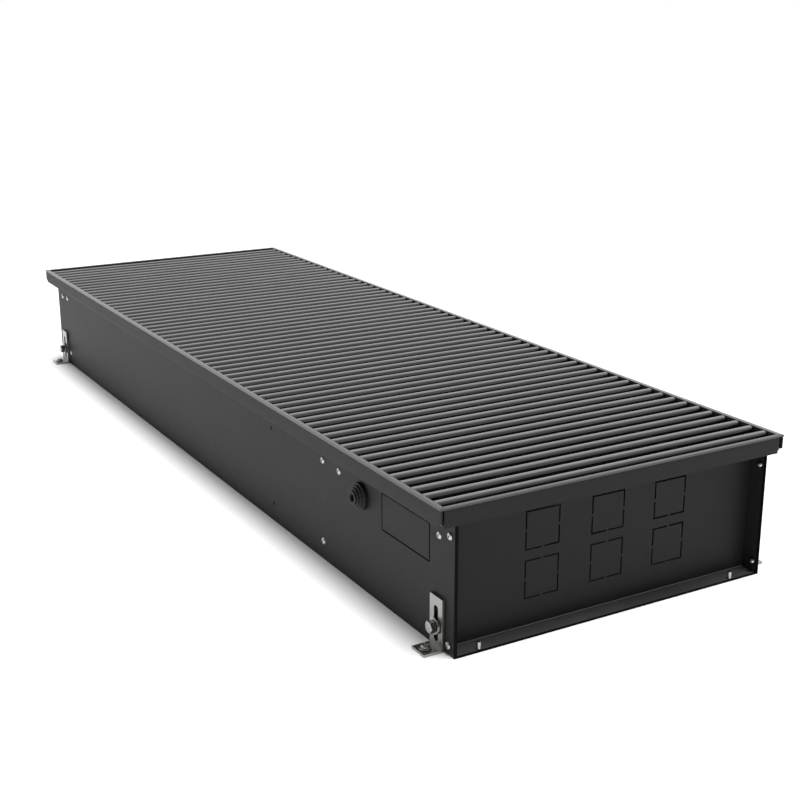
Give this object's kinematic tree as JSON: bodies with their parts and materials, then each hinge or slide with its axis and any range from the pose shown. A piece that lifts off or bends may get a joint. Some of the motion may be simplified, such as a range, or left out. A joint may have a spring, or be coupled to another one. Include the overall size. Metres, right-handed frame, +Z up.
{
  "type": "trench convector heater",
  "caption": "Floor-recessed trench convector: dark sheet-metal trench with aluminium rim and roll-up cross-bar grille over a finned exchanger and fan, on levelling brackets.",
  "frame": {"origin": "middle of the underside, on the floor it stands on", "axes": "+Z up, +Y along the trench away from the end with the pipe knockouts, +X across; the cable grommet is on the -X wall"},
  "size_m": [0.3066, 0.9, 0.11],
  "materials": {
    "trench_paint": "satin black-grey powder coat",
    "rim_aluminium": "satin black-grey coat",
    "grille_aluminium": "dark grey satin anodised",
    "rubber": "matt black",
    "stainless": "brushed",
    "rivet_steel": "bright",
    "galvanised": "zinc spangle",
    "fin_aluminium": "graphite coat",
    "copper": "bright copper tube",
    "brass": "machined brass",
    "black_plastic": "fine grain",
    "motor_metal": "semi-matt black",
    "drum_metal": "mill finish",
    "shaft_steel": "ground",
    "grey_plastic": "fine grain",
    "terminal_plastic": "smooth"
  },
  "bodies": {
    "trench": {"trench_tray": "trench_paint", "near_end_plate": "trench_paint", "far_end_plate": "trench_paint", "rim_left": "rim_aluminium", "rim_right": "rim_aluminium", "rim_near": "rim_aluminium", "rim_far": "rim_aluminium", "rest_strip_left": "rubber", "rest_strip_right": "rubber", "cable_grommet": "rubber", "bracket_washer_near_left": "stainless", "bracket_bolt_near_left": "stainless", "bracket_washer_near_right": "stainless", "bracket_bolt_near_right": "stainless", "bracket_washer_far_left": "stainless", "bracket_bolt_far_left": "stainless", "bracket_washer_far_right": "stainless", "bracket_bolt_far_right": "stainless", "end_rivet_upper_left": "rivet_steel", "end_rivet_upper_right": "rivet_steel", "end_rivet_lower_left": "rivet_steel", "end_rivet_lower_right": "rivet_steel", "floor_rivet_left": "rivet_steel", "floor_rivet_right": "rivet_steel", "near_bulkhead": "galvanised", "far_bulkhead": "galvanised", "fan_plate_near": "galvanised", "fan_plate_far": "galvanised", "fan_casing": "galvanised", "fan_tongue": "galvanised", "fin_pack": "fin_aluminium", "supply_tube": "copper", "return_tube": "copper", "upper_tube_left": "copper", "upper_tube_right": "copper", "far_bend_left": "copper", "far_bend_right": "copper", "near_bend": "copper", "supply_valve_body": "brass", "return_valve_body": "brass", "bleed_boss": "brass", "fan_bearing": "black_plastic", "fan_motor": "motor_metal", "terminal_box": "grey_plastic", "terminal_box_lid": "grey_plastic", "terminal_strip": "terminal_plastic"},
    "grille": {"roll_up_grille": "grille_aluminium"},
    "fan_rotor": {"fan_drum": "drum_metal", "fan_shaft": "shaft_steel"},
    "supply_wheel": {"supply_valve_wheel": "black_plastic"},
    "return_wheel": {"return_valve_wheel": "black_plastic"},
    "bleed_key_screw": {"bleed_screw": "brass"},
    "bracket_near_left": {"levelling_bracket_near_left": "stainless", "foot_screw_near_left": "stainless"},
    "bracket_near_right": {"levelling_bracket_near_right": "stainless", "foot_screw_near_right": "stainless"},
    "bracket_far_left": {"levelling_bracket_far_left": "stainless", "foot_screw_far_left": "stainless"},
    "bracket_far_right": {"levelling_bracket_far_right": "stainless", "foot_screw_far_right": "stainless"}
  },
  "joints": [
    {"name": "grille_lift", "type": "slide", "parent": "trench", "child": "grille", "axis": [0, 0, 1], "range_m": [0, 0.06]},
    {"name": "fan_spin", "type": "hinge", "parent": "trench", "child": "fan_rotor", "pos_m": [-0.072, 0, 0.045], "axis": [0, 1, 0], "continuous": true},
    {"name": "supply_valve_turn", "type": "hinge", "parent": "trench", "child": "supply_wheel", "pos_m": [0.042, -0.312, 0.05], "axis": [0, 0, 1], "range_deg": [0, 720]},
    {"name": "return_valve_turn", "type": "hinge", "parent": "trench", "child": "return_wheel", "pos_m": [0.086, -0.312, 0.05], "axis": [0, 0, 1], "range_deg": [0, 720]},
    {"name": "bleed_screw_turn", "type": "hinge", "parent": "trench", "child": "bleed_key_screw", "pos_m": [0.064, -0.2913, 0.0698], "axis": [0, 0, 1], "range_deg": [0, 360]},
    {"name": "bracket_slide_near_left", "type": "slide", "parent": "trench", "child": "bracket_near_left", "axis": [0, 0, 1], "range_m": [-0.0115, 0.006]},
    {"name": "bracket_slide_near_right", "type": "slide", "parent": "trench", "child": "bracket_near_right", "axis": [0, 0, 1], "range_m": [-0.0115, 0.006]},
    {"name": "bracket_slide_far_left", "type": "slide", "parent": "trench", "child": "bracket_far_left", "axis": [0, 0, 1], "range_m": [-0.0115, 0.006]},
    {"name": "bracket_slide_far_right", "type": "slide", "parent": "trench", "child": "bracket_far_right", "axis": [0, 0, 1], "range_m": [-0.0115, 0.006]}
  ]
}
